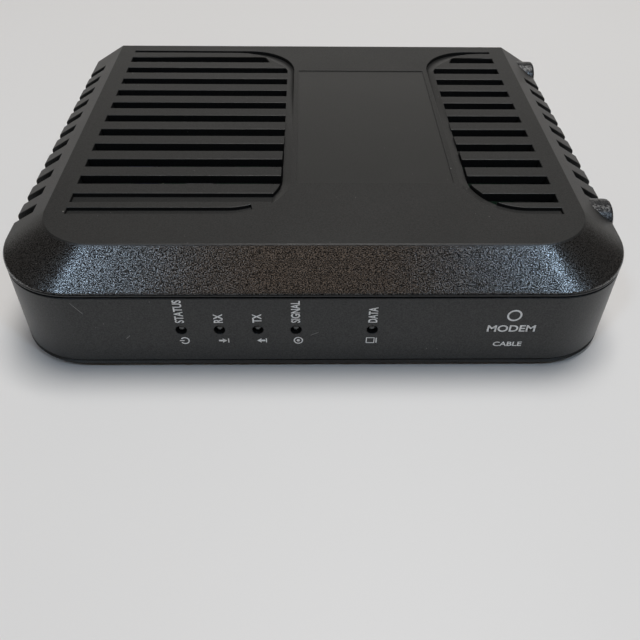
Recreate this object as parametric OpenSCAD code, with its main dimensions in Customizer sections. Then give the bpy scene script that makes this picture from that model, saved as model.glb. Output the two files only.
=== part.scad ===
// Desktop cable modem: a low plastic case of three shells around one circuit board.
// X runs across the front, +Y towards the rear connectors, +Z up. The origin is on the
// surface that the modem stands on, under the middle of the modem with its coaxial thread.

/* [Case] */
// Width of the case across its side walls
case_w = 146; // [144:1:150]
// Depth of the case from the bezel's face to the rear wall
case_d = 118; // [117:1:122]
// Height of the flat top above the table
case_h = 31; // [30.5:0.5:33]
// Thickness of the plastic shells
wall = 2; // [1.8:0.1:2.2]
// Plan radius of the two front corners at the side walls
corner_r = 18.4; // [16:0.2:19]
// Plan radius of the two front corners of the flat top
top_corner_r = 13.6; // [12:0.2:15]

/* [Top cover] */
// How far the sloped front edge reaches back from the bezel's face
front_slope_run = 8.2; // [7:0.1:9]
// How far the sloped front edge drops below the flat top
front_slope_drop = 7.7; // [7.4:0.1:8]
// How far each sloped side reaches in from the side wall
side_slope_run = 9.7; // [9:0.1:10.5]
// How far each sloped side drops below the flat top
side_slope_drop = 5.6; // [5:0.1:6]
// Depth of the shallow label panel in the flat top
label_recess = 0.2; // [0.1:0.05:0.3]

/* [Grilles] */
// Distance from one vent slot to the next
slot_pitch = 8; // [7.9:0.05:8.05]
// Width of each full vent slot
slot_w = 3.65; // [3:0.05:4]
// Distance of the outer end of the vent slots from the middle of the case
slot_outer_x = 58.4; // [57:0.1:59]
// Distance of the left grille's inner edge from the middle
left_inner_x = 6; // [5.5:0.5:8]
// Distance of the right grille's inner edge from the middle
right_inner_x = 35.8; // [35.6:0.1:37]
// Width of each side notch
notch_w = 3.4; // [3:0.1:3.8]

/* [Front bezel] */
// Height of the row of indicator holes above the table
led_z = 12.5; // [12:0.1:13]
// Distance from one indicator to the next
led_pitch = 8.8; // [8.5:0.1:9]
// Radius of each indicator hole
led_hole_r = 1.3; // [1.1:0.1:1.35]

/* [Feet] */
// Radius of the rubber feet underneath
foot_r = 5; // [4:0.5:6]
// Radius of the two round feet on the right side
side_foot_r = 5.3; // [5:0.1:5.5]

/* [Connectors] */
// Outer radius of the coaxial connector's thread
coax_r = 4.7; // [4.6:0.05:4.76]
// Length of coaxial thread outside the rear wall
coax_reach = 9.5; // [8:0.5:11]
// Travel of the reset button
reset_travel = 0.3; // [0.2:0.05:0.4]

/* [Hidden] */
$fn = 64;
eps = 0.01;

front_y = -(case_d + coax_reach) / 2;
rear_y = front_y + case_d;
mid_y = (front_y + rear_y) / 2;
half_w = case_w / 2;

// Heights of the joints between the shells, from the table up
base_z = 1.4;
floor_z = base_z + wall;
bezel_bottom_z = 2.6;
base_strip_z = 2.3;
cover_z = case_h - front_slope_drop;
seam_gap = 0.25;
bead_h = 0.47;
groove_h = 0.47;
rim_z = cover_z - seam_gap;
bezel_end_y = front_y + 22;

// Flat top
top_half_w = half_w - side_slope_run;
top_front_y = front_y + front_slope_run;

// Vent slots, counted from the front, inside two D-shaped outlines
slot_count = 11;
first_slot_y = front_y + 24.9;
grille_y0 = front_y + 19.9;
grille_y1 = grille_y0 + 93.8;
grille_r = 15;
rim_band = 2;
front_moat_w = 2.5;
front_moat_end_x = -15.1;
rear_moat_w = 1.2;
rear_moat_depth = 0.7;
rib_gap = 0.6;
rib_gap_depth = 1;
blind_depth = 1.4;

// Side notches share the slots' pitch
notch_x = 67.3;
notch_y = front_y + 25.75 - notch_w / 2;

// Side feet
side_foot_tip = half_w + 0.3;
side_foot_z = case_h - 7.8;
side_foot_ys = [front_y + 28.8, rear_y - 6.8];
side_foot_root = 65.5;

// Board
board_z = 6.2;
board_t = 1.6;
board_top = board_z + board_t;
board_half_w = 60;
board_y0 = front_y + 4;
board_y1 = rear_y - 3.5;
board_screws = [[-56, -46], [56, -46], [-56, 50], [56, 50]];
case_screws = [[-64.8, -42], [64.8, -42], [-64.8, 41], [64.8, 41]];
post_split_z = 12;
screw_head_z = base_z + 0.5;

// Blank rating label underneath
label_w = 63;
label_d = 29;

// Coaxial thread at its root, where the nut sits, and the nut's outer face
coax_root_r = coax_r - 0.3;
coax_nut_end = 2.8;

// Connector centres along the rear
coax_x = 44;
reset_x = 22;
jack_x = -10;
power_x = -48;
coax_z = board_top + 6.6;
reset_z = board_top + 4;
power_z = board_top + 6.4;
power_y = rear_y - 0.6;
jack_w = 16;
jack_h = 13.4;
jack_d = 20;
jack_y1 = rear_y - 0.2;
reset_face_y = rear_y - wall - 2.6;
reset_gap = 0.3;

// Indicators: the gap before the last one is double
led_xs = [-31, -31 + led_pitch, -31 + 2 * led_pitch, -31 + 3 * led_pitch, -31 + 5 * led_pitch];
led_r = 1.5;
led_tip_y = front_y + wall - 0.5;
led_back_y = front_y + 8;

// Main chip and its heat sink
chip_c = [6, -4];
chip_w = 23;
chip_h = 2.2;
pad_h = 0.5;
sink_w = 38;
sink_z = board_top + chip_h + pad_h;

// Tuner shield
shield_c = [36, 30];
shield_size = [36, 26];
shield_h = 5;
shield_t = 0.4;

plastic = [0.13, 0.13, 0.135];
dark_plastic = [0.08, 0.08, 0.085];
rubber = [0.1, 0.1, 0.1];
steel = [0.7, 0.7, 0.72];
tin = [0.78, 0.78, 0.76];
brass = [0.8, 0.65, 0.3];
board_green = [0.06, 0.3, 0.14];
chip_black = [0.09, 0.09, 0.1];

// ---- Shared outlines -------------------------------------------------------

// Rectangle from y0 to y1 whose two front corners are round
module front_rounded(half, y0, y1, r) {
    translate([-half, y0 + r]) square([2 * half, y1 - y0 - r]);
    translate([-(half - r), y0]) square([2 * (half - r), r + eps]);
    for (side = [-1, 1]) translate([side * (half - r), y0 + r]) circle(r);
}

// The case's own outline, drawn in by inset on every side but the rear
module case_outline(inset, rear_inset = 0) {
    front_rounded(half_w - inset, front_y + inset, rear_y - rear_inset, corner_r - inset);
}

// Outline of one grille: straight at the outer end, round at its two inner corners.
// inset draws its front, inner and rear sides in.
module grille_outline(side, inner_x, inset = 0) {
    r = grille_r - inset;
    cx = inner_x + side * grille_r;
    x_in = inner_x + side * inset;
    x_out = side * slot_outer_x;
    y0 = grille_y0 + inset;
    y1 = grille_y1 - inset;
    translate([min(cx, x_out), y0]) square([abs(x_out - cx), y1 - y0]);
    translate([min(x_in, cx), y0 + r]) square([r, y1 - y0 - 2 * r]);
    for (y = [y0 + r, y1 - r]) translate([cx, y]) circle(r);
}

// Strip of the grille's outline between two insets, from ya to yb
module grille_strip(side, inner_x, outer, inner, ya, yb) {
    intersection() {
        difference() {
            grille_outline(side, inner_x, outer);
            grille_outline(side, inner_x, inner);
        }
        translate([-half_w, ya]) square([case_w, yb - ya]);
    }
}

// Plan of the vent slots from number a to number b, clipped inside the rim
module slot_plan(side, inner_x, a, b) {
    intersection() {
        grille_outline(side, inner_x, rim_band);
        for (i = [a:b]) translate([-half_w, first_slot_y + i * slot_pitch]) square([case_w, slot_w]);
    }
}

module at_posts() {
    for (p = case_screws) translate([p[0], mid_y + p[1], 0]) children();
}

module at_board_screws(z) {
    for (p = board_screws) translate([p[0], mid_y + p[1], z]) children();
}

// Bore along Y, from y0 to y1
module bore_y(x, z, r, y0, y1) {
    translate([x, y1, z]) rotate([90, 0, 0]) cylinder(r = r, h = y1 - y0);
}

// ---- Shells ----------------------------------------------------------------

// Solid under the flat top and its slopes, drawn in by t on every face
module cover_form(t) {
    shrink = 0.3 * t;
    hull() {
        translate([0, 0, case_h - t - eps]) linear_extrude(eps)
            front_rounded(top_half_w - shrink, top_front_y + shrink, rear_y - t, top_corner_r);
        translate([-(half_w - t), front_y + corner_r, case_h - side_slope_drop - 0.85 * t])
            cube([case_w - 2 * t, case_d - corner_r - t, eps]);
        translate([0, 0, cover_z - (t > 0 ? 1 : 0)]) linear_extrude(eps)
            case_outline(t, t);
    }
}

module top_cover() {
    color(plastic) {
        difference() {
            cover_form(0);
            cover_form(wall);
            for (side = [-1, 1]) {
                grille(side, side < 0 ? -left_inner_x : right_inner_x);
                notches(side);
            }
            translate([-4.6, front_y + 33.3, case_h - label_recess]) cube([39, 65.4, wall]);
            for (y = side_foot_ys) side_foot_bore(y);
        }
        difference() {
            intersection() {
                at_posts() translate([0, 0, post_split_z + 0.2]) cylinder(r = 3.6, h = case_h);
                union() {
                    cover_form(wall / 2);
                    translate([-half_w, front_y, 0]) cube([case_w, case_d, cover_z]);
                }
            }
            at_posts() cylinder(r = 1.5, h = post_split_z + 9);
        }
    }
}

// Slots and grooves of one grille. The front slot of the left grille is blind.
module grille(side, inner_x) {
    first_open = side < 0 ? 1 : 0;
    arc_y = grille_y0 + grille_r;
    sunk(2 * wall) slot_plan(side, inner_x, first_open, slot_count - 1);
    sunk(blind_depth) {
        slot_plan(side, inner_x, 0, 0);
        difference() {
            grille_strip(side, inner_x, 0, front_moat_w, grille_y0 - 1, first_slot_y);
            if (side < 0) translate([front_moat_end_x, grille_y0 - 1]) square([case_w, case_d]);
        }
    }
    sunk(rib_gap_depth)
        grille_strip(side, inner_x, rim_band, rim_band + rib_gap, first_slot_y, arc_y + 4 * slot_pitch);
    sunk(rear_moat_depth)
        grille_strip(side, inner_x, 0, rear_moat_w, grille_y1 - grille_r, grille_y1 + 1);
}

// Plan shape cut into the flat top to the given depth
module sunk(depth) {
    translate([0, 0, case_h - depth]) linear_extrude(depth + 1) children();
}

// Notches through the side slope, down to the cover's lower edge
module notches(side) {
    first = side < 0 ? 0 : 1;
    last = side < 0 ? slot_count - 1 : slot_count - 2;
    for (i = [first:last])
        translate([side < 0 ? -half_w - 1 : notch_x, notch_y + i * slot_pitch, cover_z - 1])
            cube([half_w + 1 - notch_x, notch_w, case_h - cover_z]);
}

module side_foot_bore(y) {
    translate([side_foot_root, y, side_foot_z]) rotate([0, 90, 0])
        cylinder(r = side_foot_r + 0.1, h = 20);
}

// Seat that carries the lower half of a side foot
module side_foot_seat(y) {
    y0 = y - side_foot_r - 1.5;
    y1 = min(y + side_foot_r + 1.5, rear_y - wall + eps);
    translate([side_foot_root - 1.5, y0, floor_z - eps])
        cube([half_w - wall - side_foot_root + 1.5 + eps, y1 - y0, side_foot_z - 1 - floor_z]);
}

module base_shell() {
    hull() {
        translate([0, 0, base_strip_z - 0.3]) linear_extrude(0.3) case_outline(0);
        translate([0, 0, base_z]) linear_extrude(eps) case_outline(0.7);
    }
    translate([0, 0, base_strip_z - eps]) linear_extrude(floor_z - base_strip_z + eps)
        case_outline(wall + 0.2);
    difference() {
        translate([0, 0, base_strip_z - eps])
            linear_extrude(rim_z - base_strip_z + eps) case_outline(0);
        translate([0, 0, floor_z]) linear_extrude(case_h) case_outline(wall, wall);
        translate([-case_w, bezel_end_y + 0.3 - case_d, base_strip_z])
            cube([2 * case_w, case_d, case_h]);
    }
}

module bottom_case() {
    color(plastic) {
        difference() {
            union() {
                base_shell();
                retaining_rib();
                for (y = side_foot_ys) side_foot_seat(y);
                at_posts() cylinder(r = 4.2, h = post_split_z);
                at_board_screws(floor_z - eps) cylinder(r = 3, h = board_z - floor_z + eps);
            }
            below_base();
            for (y = side_foot_ys) side_foot_bore(y);
            at_posts() {
                cylinder(r = 3, h = screw_head_z + 1.7);
                cylinder(r = 1.6, h = case_h);
            }
            at_board_screws(floor_z - 0.6) cylinder(r = 1.3, h = case_h);
            for (x = [-1, 1], y = [-1, 1]) foot_place(x, y) cylinder(r = foot_r + 0.1, h = 2);
            bottom_vents();
            translate([-label_w / 2 - 0.5, mid_y - label_d / 2 - 0.5, base_z - 1])
                cube([label_w + 1, label_d + 1, 1.2]);
            rear_ports();
        }
    }
}

// Everything under the lower face of the case
module below_base() {
    translate([-case_w, -case_d, base_z - case_h]) cube([2 * case_w, 2 * case_d, case_h]);
}

// Low rib behind the bezel that holds its lower edge
module retaining_rib() {
    translate([0, 0, floor_z - eps]) linear_extrude(3) difference() {
        case_outline(wall + 0.2);
        case_outline(wall + 1.4);
        translate([-case_w, bezel_end_y]) square([2 * case_w, case_d]);
    }
}

module bottom_vents() {
    for (row = [-1, 1], i = [-5:5])
        translate([i * 8 - 1.1, mid_y + row * 37 - 10, base_z - 1]) cube([2.2, 20, wall + 2]);
}

module rear_ports() {
    y0 = rear_y - wall - 1;
    y1 = rear_y + 1;
    bore_y(coax_x, coax_z, coax_r + 0.3, y0, y1);
    bore_y(reset_x, reset_z, 1.25, y0, y1);
    bore_y(power_x, power_z, 4.2, y0, y1);
    translate([jack_x - jack_w / 2 - 0.2, y0, board_top])
        cube([jack_w + 0.4, wall + 2, jack_h + 0.2]);
}

module front_bezel() {
    color(dark_plastic) difference() {
        union() {
            translate([0, 0, bezel_bottom_z]) linear_extrude(rim_z - bezel_bottom_z) bezel_plan(0, wall);
            for (x = [-46, 0, 46]) bezel_hook(x);
        }
        translate([0, 0, rim_z - bead_h - groove_h]) linear_extrude(groove_h) difference() {
            case_outline(-1);
            case_outline(0.7);
        }
        for (x = led_xs) bore_y(x, led_z, led_hole_r, front_y - 1, front_y + wall + 1);
    }
}

// Snap hook that reaches back under the top cover
module bezel_hook(x) {
    translate([x - 4, front_y + wall - eps, rim_z - 2.8]) {
        cube([8, 6, 1.2]);
        translate([0, 4.6, 1.2 - eps]) cube([8, 1.4, 0.7]);
    }
}

// Plan of the bezel: the front and both corners, up to the side walls
module bezel_plan(outside, inside) {
    difference() {
        case_outline(outside);
        case_outline(inside);
        translate([-case_w, bezel_end_y]) square([2 * case_w, case_d]);
    }
}

// ---- Feet, label and screws ------------------------------------------------

module foot_place(x, y) {
    translate([x * (half_w - 20), mid_y + y * (case_d / 2 - 14), 0]) children();
}

module rubber_foot(x, y) {
    color(rubber) foot_place(x, y) cylinder(r = foot_r, h = 2);
}

module side_foot(y) {
    color(dark_plastic) translate([side_foot_root, y, side_foot_z]) rotate([0, 90, 0])
        cylinder(r = side_foot_r, h = side_foot_tip - side_foot_root);
}

module rating_label() {
    color([0.85, 0.85, 0.83]) translate([-label_w / 2, mid_y - label_d / 2, base_z + 0.05])
        cube([label_w, label_d, 0.15]);
}

// Pan-head screw with its head at z = 0 and its thread upwards
module screw(head_r, head_h, shank_r, length) {
    difference() {
        cylinder(r = head_r, h = head_h);
        for (a = [0, 90]) rotate(a) translate([-head_r * 0.6, -0.3, -eps])
            cube([head_r * 1.2, 0.6, head_h * 0.6]);
    }
    translate([0, 0, head_h - eps]) cylinder(r = shank_r, h = length + eps);
}

module case_screw_set() {
    color(steel) at_posts() translate([0, 0, screw_head_z]) screw(2.7, 1.7, 1.4, 14);
}

module board_screw_set() {
    color(steel) at_board_screws(board_top + 1.6) mirror([0, 0, 1]) screw(2.6, 1.6, 1.2, 4.2);
}

// ---- Board and its parts ---------------------------------------------------

module main_board() {
    color(board_green) difference() {
        translate([-board_half_w, board_y0, board_z])
            cube([2 * board_half_w, board_y1 - board_y0, board_t]);
        at_board_screws(board_z - 1) cylinder(r = 1.7, h = board_t + 2);
    }
}

// A flat part centred at c, standing on the board
module on_board(c, size) {
    translate([c[0] - size[0] / 2, mid_y + c[1] - size[1] / 2, board_top]) cube(size);
}

module main_chip() {
    color(chip_black) on_board(chip_c, [chip_w, chip_w, chip_h]);
}

module thermal_pad() {
    color([0.55, 0.6, 0.7]) translate([0, 0, chip_h]) on_board(chip_c, [20, 20, pad_h]);
}

module heat_sink() {
    fins = 9;
    fin_t = 1.4;
    color(dark_plastic) translate([chip_c[0] - sink_w / 2, mid_y + chip_c[1] - sink_w / 2, sink_z]) {
        cube([sink_w, sink_w, 2]);
        for (i = [0:fins - 1]) translate([i * (sink_w - fin_t) / (fins - 1), 0, 2 - eps])
            cube([fin_t, sink_w, 8]);
    }
}

module memory_chip() {
    color(chip_black) on_board([-24, -8], [10, 13, 1.1]);
}

module flash_chip() {
    color(chip_black) on_board([-24, -30], [6, 8, 1.6]);
}

module crystal() {
    color(tin) translate([34, mid_y - 14, board_top]) {
        for (x = [-3.4, 3.4]) translate([x, 0, 0]) cylinder(r = 2.3, h = 3.4);
        translate([-3.4, -2.3, 0]) cube([6.8, 4.6, 3.4]);
    }
}

module tuner_chip() {
    color(chip_black) on_board([28, 24], [8, 8, 0.9]);
}

module diplexer() {
    color([0.75, 0.72, 0.65]) on_board([46, 22], [9, 6, 3]);
}

module shield_frame() {
    x = shield_size[0];
    y = shield_size[1];
    color(tin) difference() {
        on_board(shield_c, [x, y, shield_h]);
        translate([0, 0, -1]) on_board(shield_c, [x - 2 * shield_t, y - 2 * shield_t, shield_h + 2]);
    }
}

module shield_lid() {
    color(steel) difference() {
        translate([0, 0, shield_h]) on_board(shield_c, [shield_size[0], shield_size[1], shield_t]);
        for (i = [-2:2], j = [-1:1])
            translate([shield_c[0] + i * 7, mid_y + shield_c[1] + j * 7, board_top])
                cylinder(r = 1.2, h = shield_h + 1);
    }
}

module ethernet_transformer() {
    color(chip_black) on_board([jack_x, 28], [16, 9, 5.5]);
}

module power_inductor() {
    color([0.25, 0.25, 0.26]) on_board([-31, 26], [12, 12, 6]);
}

module core_inductor() {
    color([0.25, 0.25, 0.26]) on_board([-34, 8], [8, 8, 4]);
}

module capacitor(c, r, h) {
    color([0.12, 0.16, 0.3]) translate([c[0], mid_y + c[1], board_top]) cylinder(r = r, h = h);
}

// ---- Coaxial connector -----------------------------------------------------

module coax_body() {
    wall_y = rear_y - wall;
    color(tin) difference() {
        union() {
            translate([coax_x - 6, wall_y - 11, board_top]) cube([12, 10.6, 12.6]);
            bore_y(coax_x, coax_z, coax_root_r, wall_y - 1, rear_y + coax_nut_end);
            bore_y(coax_x, coax_z, coax_r, rear_y + coax_nut_end, rear_y + coax_reach);
        }
        bore_y(coax_x, coax_z, 3.6, wall_y - 6, rear_y + coax_reach + 1);
    }
}

module coax_washer() {
    color(steel) difference() {
        bore_y(coax_x, coax_z, 6.6, rear_y, rear_y + 0.6);
        bore_y(coax_x, coax_z, coax_root_r + 0.1, rear_y - 1, rear_y + 2);
    }
}

module coax_nut() {
    color(brass) difference() {
        translate([coax_x, rear_y + coax_nut_end, coax_z]) rotate([90, 0, 0])
            cylinder(r = 6.35, h = coax_nut_end - 0.6, $fn = 6);
        bore_y(coax_x, coax_z, coax_root_r, rear_y - 1, rear_y + 4);
    }
}

module coax_insulator() {
    color([0.9, 0.9, 0.86]) difference() {
        bore_y(coax_x, coax_z, 3.55, rear_y - wall - 6, rear_y + coax_reach - 0.6);
        bore_y(coax_x, coax_z, 0.85, rear_y - wall - 3, rear_y + coax_reach);
    }
}

module coax_contact() {
    color(brass) difference() {
        bore_y(coax_x, coax_z, 0.8, rear_y - wall - 3, rear_y + coax_reach - 1.6);
        bore_y(coax_x, coax_z, 0.45, rear_y + 1, rear_y + coax_reach);
    }
}

// ---- Ethernet jack ---------------------------------------------------------

module ethernet_shell() {
    t = 0.3;
    color(tin) translate([jack_x, jack_y1, board_top]) difference() {
        translate([-jack_w / 2, -jack_d, 0]) cube([jack_w, jack_d, jack_h]);
        translate([-jack_w / 2 + t, -jack_d + t, -1]) cube([jack_w - 2 * t, jack_d, jack_h + 1 - t]);
    }
}

module ethernet_insert() {
    w = jack_w - 0.7;
    h = jack_h - 0.35;
    color(dark_plastic) translate([jack_x, jack_y1 - 0.3, board_top]) difference() {
        translate([-w / 2, -jack_d + 0.65, 0]) cube([w, jack_d - 0.65, h]);
        translate([-5.95, -14, 2.2]) cube([11.9, 20, 8.2]);
        translate([-3.2, -14, 1]) cube([6.4, 20, 2]);
    }
}

module ethernet_contacts() {
    color(brass) for (i = [0:7])
        translate([jack_x - 3.57 + i * 1.02 - 0.2, jack_y1 - 14.9, board_top + 10.2])
            rotate([-12, 0, 0]) translate([0, 0, -0.3]) cube([0.4, 9, 0.3]);
}

// ---- Power jack ------------------------------------------------------------

module power_jack_body() {
    color(dark_plastic) difference() {
        union() {
            translate([power_x - 4.5, power_y - 14, board_top]) cube([9, 12, 10.8]);
            bore_y(power_x, power_z, 4, power_y - 3, power_y);
        }
        bore_y(power_x, power_z, 3.1, power_y - 11, power_y + 1);
        translate([power_x - 1.3, power_y - 11, power_z - 4.1]) cube([2.6, 8.4, 2]);
    }
}

module power_jack_pin() {
    color(steel) {
        bore_y(power_x, power_z, 1.05, power_y - 11, power_y - 2);
        translate([power_x, power_y - 2, power_z]) sphere(1.05);
    }
}

module power_jack_spring() {
    color(steel) translate([power_x - 1.1, power_y - 11, power_z - 4.1]) cube([2.2, 8.2, 0.3]);
}

// ---- Reset switch ----------------------------------------------------------

module reset_switch() {
    color(dark_plastic) difference() {
        translate([reset_x - 3.2, reset_face_y - 4.4, board_top]) cube([6.4, 4.4, 7]);
        bore_y(reset_x, reset_z, 1.5 + reset_gap, reset_face_y - 2, reset_face_y + 1);
        bore_y(reset_x, reset_z, 2.3 + reset_gap,
            reset_face_y - 2 - reset_travel - reset_gap, reset_face_y - 1.2 + reset_gap);
    }
}

module reset_button() {
    color([0.75, 0.2, 0.15]) {
        bore_y(reset_x, reset_z, 1.5, reset_face_y - 2, reset_face_y + 1.4);
        bore_y(reset_x, reset_z, 2.3, reset_face_y - 2, reset_face_y - 1.2);
    }
}

// ---- Indicators ------------------------------------------------------------

module led_holder(x) {
    color(dark_plastic) difference() {
        translate([x - 2, led_back_y - 4.5, board_top]) cube([4, 4.5, led_z + 2.2 - board_top]);
        bore_y(x, led_z, led_r + 0.1, led_back_y - 5, led_back_y - 1);
    }
}

module led(x) {
    color([0.7, 0.85, 0.7]) {
        bore_y(x, led_z, led_r, led_tip_y + led_r, led_back_y - 1);
        translate([x, led_tip_y + led_r, led_z]) rotate([90, 0, 0]) rotate_extrude() intersection() {
            circle(led_r);
            square(2 * led_r);
        }
    }
}

// ---- Nodes -----------------------------------------------------------------

top_cover();
bottom_case();
front_bezel();
rubber_foot(-1, -1);  // rubber_foot_front_left
rubber_foot(1, -1);  // rubber_foot_front_right
rubber_foot(-1, 1);  // rubber_foot_rear_left
rubber_foot(1, 1);  // rubber_foot_rear_right
side_foot(side_foot_ys[0]);  // side_foot_front
side_foot(side_foot_ys[1]);  // side_foot_rear
rating_label();
case_screw_set();  // case_screws
board_screw_set();  // board_screws
main_board();
main_chip();
thermal_pad();
heat_sink();
memory_chip();
flash_chip();
crystal();
tuner_chip();
diplexer();
shield_frame();
shield_lid();
ethernet_transformer();
power_inductor();
core_inductor();
capacitor([-50, 20], 5, 12);  // input_capacitor
capacitor([-50, 6], 4, 10);  // output_capacitor
coax_body();
coax_washer();
coax_nut();
coax_insulator();
coax_contact();
ethernet_shell();
ethernet_insert();
ethernet_contacts();
power_jack_body();
power_jack_pin();
power_jack_spring();
reset_switch();
reset_button();
for (i = [0:4]) {
    led_holder(led_xs[i]);
    led(led_xs[i]);
}
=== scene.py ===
import math

import bpy
import numpy as np
from mathutils import Matrix, Vector
from mathutils.geometry import tessellate_polygon


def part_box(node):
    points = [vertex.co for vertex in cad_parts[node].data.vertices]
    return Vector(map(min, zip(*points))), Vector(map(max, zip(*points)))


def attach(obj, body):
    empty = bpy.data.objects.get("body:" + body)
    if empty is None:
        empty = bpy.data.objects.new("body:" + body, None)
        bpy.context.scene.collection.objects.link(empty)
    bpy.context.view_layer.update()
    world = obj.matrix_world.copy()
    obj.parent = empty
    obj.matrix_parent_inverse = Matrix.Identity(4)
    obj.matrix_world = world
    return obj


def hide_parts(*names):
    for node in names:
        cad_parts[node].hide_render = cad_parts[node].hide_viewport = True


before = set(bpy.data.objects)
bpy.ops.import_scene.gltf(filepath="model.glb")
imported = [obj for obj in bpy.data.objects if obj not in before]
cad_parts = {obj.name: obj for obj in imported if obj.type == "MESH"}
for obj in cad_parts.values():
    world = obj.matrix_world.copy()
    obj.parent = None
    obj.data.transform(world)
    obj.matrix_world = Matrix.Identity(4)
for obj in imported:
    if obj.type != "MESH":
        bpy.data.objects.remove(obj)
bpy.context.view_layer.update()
MM = 0.001

# Sizes in millimetres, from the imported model. x is from the middle, y from the bezel's face
# towards the rear, z from the flat top (so z is negative below it).
_lo, _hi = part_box("top_cover")
HW = _hi.x / MM
TOP = _hi.z / MM
FY = _lo.y / MM
LEN = _hi.y / MM - FY
_lo, _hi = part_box("front_bezel")
RIM = _hi.z / MM - TOP            # top of the bezel and of the side walls
BEZEL_END = _hi.y / MM - FY
BEZEL_LOW = _lo.z / MM - TOP
_lo, _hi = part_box("bottom_case")
FLOOR = _lo.z / MM - TOP          # underside of the case
SEAM = RIM + 0.25                 # lower edge of the top cover
CORNER = 18.4                     # plan radius of the front corners
PLATEAU = HW - 9.7                # half width of the flat top
PLATEAU_FRONT = 8.2               # where the flat top starts
PLATEAU_CORNER = 13.6             # plan radius of its front corners
CASE_WALL = 2.0


def to_world(p):
    """Case millimetres to world metres."""
    p = np.asarray(p, float)
    return (p + [0, FY, TOP]) * MM


def unit(v):
    v = np.asarray(v, float)
    n = np.linalg.norm(v, axis=-1, keepdims=True)
    return v / np.where(n < 1e-12, 1, n)


def smooth(t):
    t = np.clip(t, 0, 1)
    return t * t * (3 - 2 * t)


def extent(name):
    """Lowest and highest corner of a CAD node, in case millimetres."""
    lo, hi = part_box(name)
    return [np.array(v) / MM - [0, FY, TOP] for v in (lo, hi)]


def centre(name):
    lo, hi = extent(name)
    return (lo + hi) / 2


def arc(x, y, r, a0, a1, n):
    return [(x + r * math.cos(a), y + r * math.sin(a)) for a in np.linspace(a0, a1, n)]


def circle(x, y, r, n=40):
    return arc(x, y, r, 0, 2 * math.pi, n + 1)[:-1]


class Plane:
    """A flat frame: a and b are coordinates on it, h is the height above it."""

    def __init__(self, origin, u, v, n):
        self.o, self.u, self.v, self.n = (np.array(x, float) for x in (origin, u, v, n))

    def at(self, a, b, h=0.0):
        a, b, h = (np.asarray(x, float)[..., None] for x in (a, b, h))
        return self.o + a * self.u + b * self.v + h * self.n

    def turn(self, a, b, h):
        a, b, h = (np.asarray(x, float)[..., None] for x in (a, b, h))
        return unit(a * self.u + b * self.v + h * self.n)


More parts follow.
